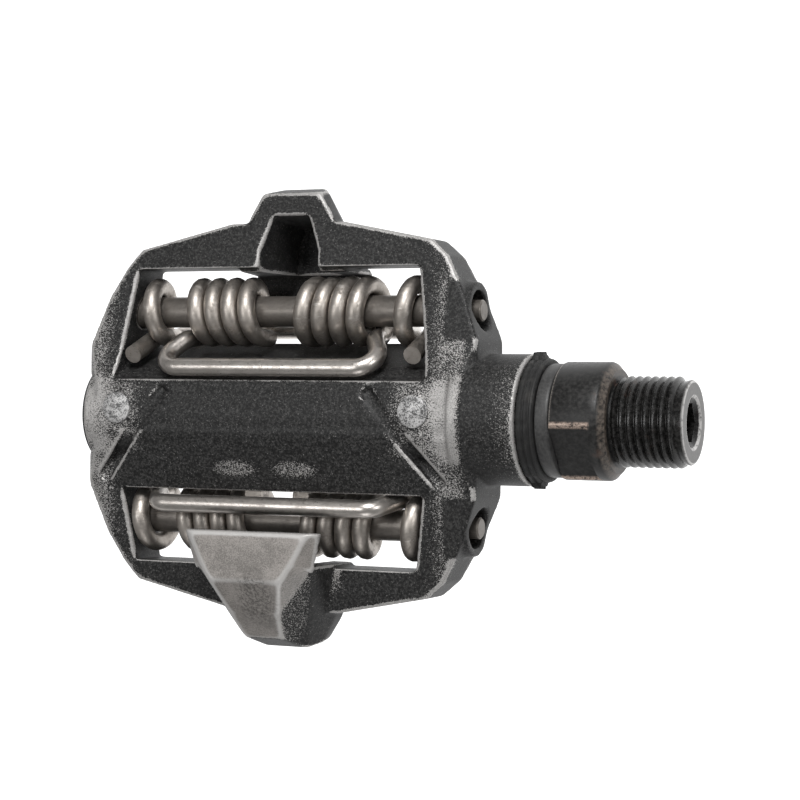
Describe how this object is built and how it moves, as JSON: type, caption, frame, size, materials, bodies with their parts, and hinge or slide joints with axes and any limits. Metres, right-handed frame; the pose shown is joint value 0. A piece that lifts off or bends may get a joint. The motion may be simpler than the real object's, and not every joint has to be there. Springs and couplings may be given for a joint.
{
  "type": "clipless pedal",
  "caption": "Double-sided clipless bicycle pedal: cast cage with ramp noses and sprung wire arches, turning on a sealed bearing spindle with a threaded end.",
  "frame": {"origin": "on the spindle axis in the plane of the shoulder that seats against the crank arm", "axes": "+X along the spindle into the crank arm, +Y fore and aft with the release arch of the upper face on the +Y side, +Z out of the upper face"},
  "size_m": [0.1044, 0.076, 0.0256],
  "materials": {
    "cast_body": "worn black paint over cast aluminium",
    "spindle_steel": "black oxide, glossy, worn at the edges",
    "arch_wire": "polished by the cleat",
    "coil_wire": "dull, dirty",
    "pin_steel": "dark, oily",
    "clip_steel": "dark spring steel",
    "seal_rubber": "matte, perished",
    "race_steel": "ground",
    "roller_steel": "polished",
    "cage_brass": "pressed",
    "zinc_steel": "zinc plated",
    "cap_plastic": "moulded"
  },
  "bodies": {
    "axle": {"spindle": "spindle_steel", "seal_boot": "seal_rubber", "spacer_sleeve": "spindle_steel", "inner_race": "race_steel", "lock_washer": "zinc_steel", "lock_nut": "zinc_steel"},
    "cage": {"pedal_body": "cast_body", "lip_seal": "seal_rubber", "needle_shell": "race_steel", "outer_race": "race_steel", "bearing_shields": "clip_steel", "bearing_circlip": "clip_steel", "end_cap": "cap_plastic", "cap_o_ring": "seal_rubber", "rear_pin": "pin_steel", "front_pin": "pin_steel", "pin_clips": "clip_steel", "top_release_coils": "coil_wire", "top_nose_coils": "coil_wire", "bottom_release_coils": "coil_wire", "bottom_nose_coils": "coil_wire"},
    "rollers": {"needle_rollers": "roller_steel"},
    "balls": {"bearing_balls": "roller_steel", "ball_cage": "cage_brass"},
    "top_release": {"top_release_arch": "arch_wire"},
    "top_nose": {"top_nose_arch": "arch_wire"},
    "bottom_release": {"bottom_release_arch": "arch_wire"},
    "bottom_nose": {"bottom_nose_arch": "arch_wire"}
  },
  "joints": [
    {"name": "cage_spin", "type": "hinge", "parent": "axle", "child": "cage", "pos_m": [-0.0583, 0, 0], "axis": [1, 0, 0], "continuous": true},
    {"name": "ball_spin", "type": "hinge", "parent": "axle", "child": "balls", "pos_m": [-0.0583, 0, 0], "axis": [1, 0, 0], "continuous": true},
    {"name": "roller_spin", "type": "hinge", "parent": "axle", "child": "rollers", "pos_m": [-0.0583, 0, 0], "axis": [1, 0, 0], "continuous": true},
    {"name": "top_release_swing", "type": "hinge", "parent": "cage", "child": "top_release", "pos_m": [-0.0583, 0.0174, 0], "axis": [-1, 0, 0], "range_deg": [0, 20], "stiffness_Nm_per_rad": 6, "springref_deg": -20.05, "deforming": ["top_release_coils"]},
    {"name": "bottom_release_swing", "type": "hinge", "parent": "cage", "child": "bottom_release", "pos_m": [-0.0583, -0.0174, 0], "axis": [-1, 0, 0], "range_deg": [0, 20], "stiffness_Nm_per_rad": 6, "springref_deg": -20.05, "deforming": ["bottom_release_coils"]},
    {"name": "bottom_nose_swing", "type": "hinge", "parent": "cage", "child": "bottom_nose", "pos_m": [-0.0583, 0.0174, 0], "axis": [1, 0, 0], "range_deg": [0, 14], "stiffness_Nm_per_rad": 4, "springref_deg": -20.05, "deforming": ["bottom_nose_coils"]},
    {"name": "top_nose_swing", "type": "hinge", "parent": "cage", "child": "top_nose", "pos_m": [-0.0583, -0.0174, 0], "axis": [1, 0, 0], "range_deg": [0, 14], "stiffness_Nm_per_rad": 4, "springref_deg": -20.05, "deforming": ["top_nose_coils"]}
  ],
  "couplings": [
    {"joint": "ball_spin", "follows": "cage_spin", "ratio": 0.6},
    {"joint": "roller_spin", "follows": "cage_spin", "ratio": 0.56}
  ]
}
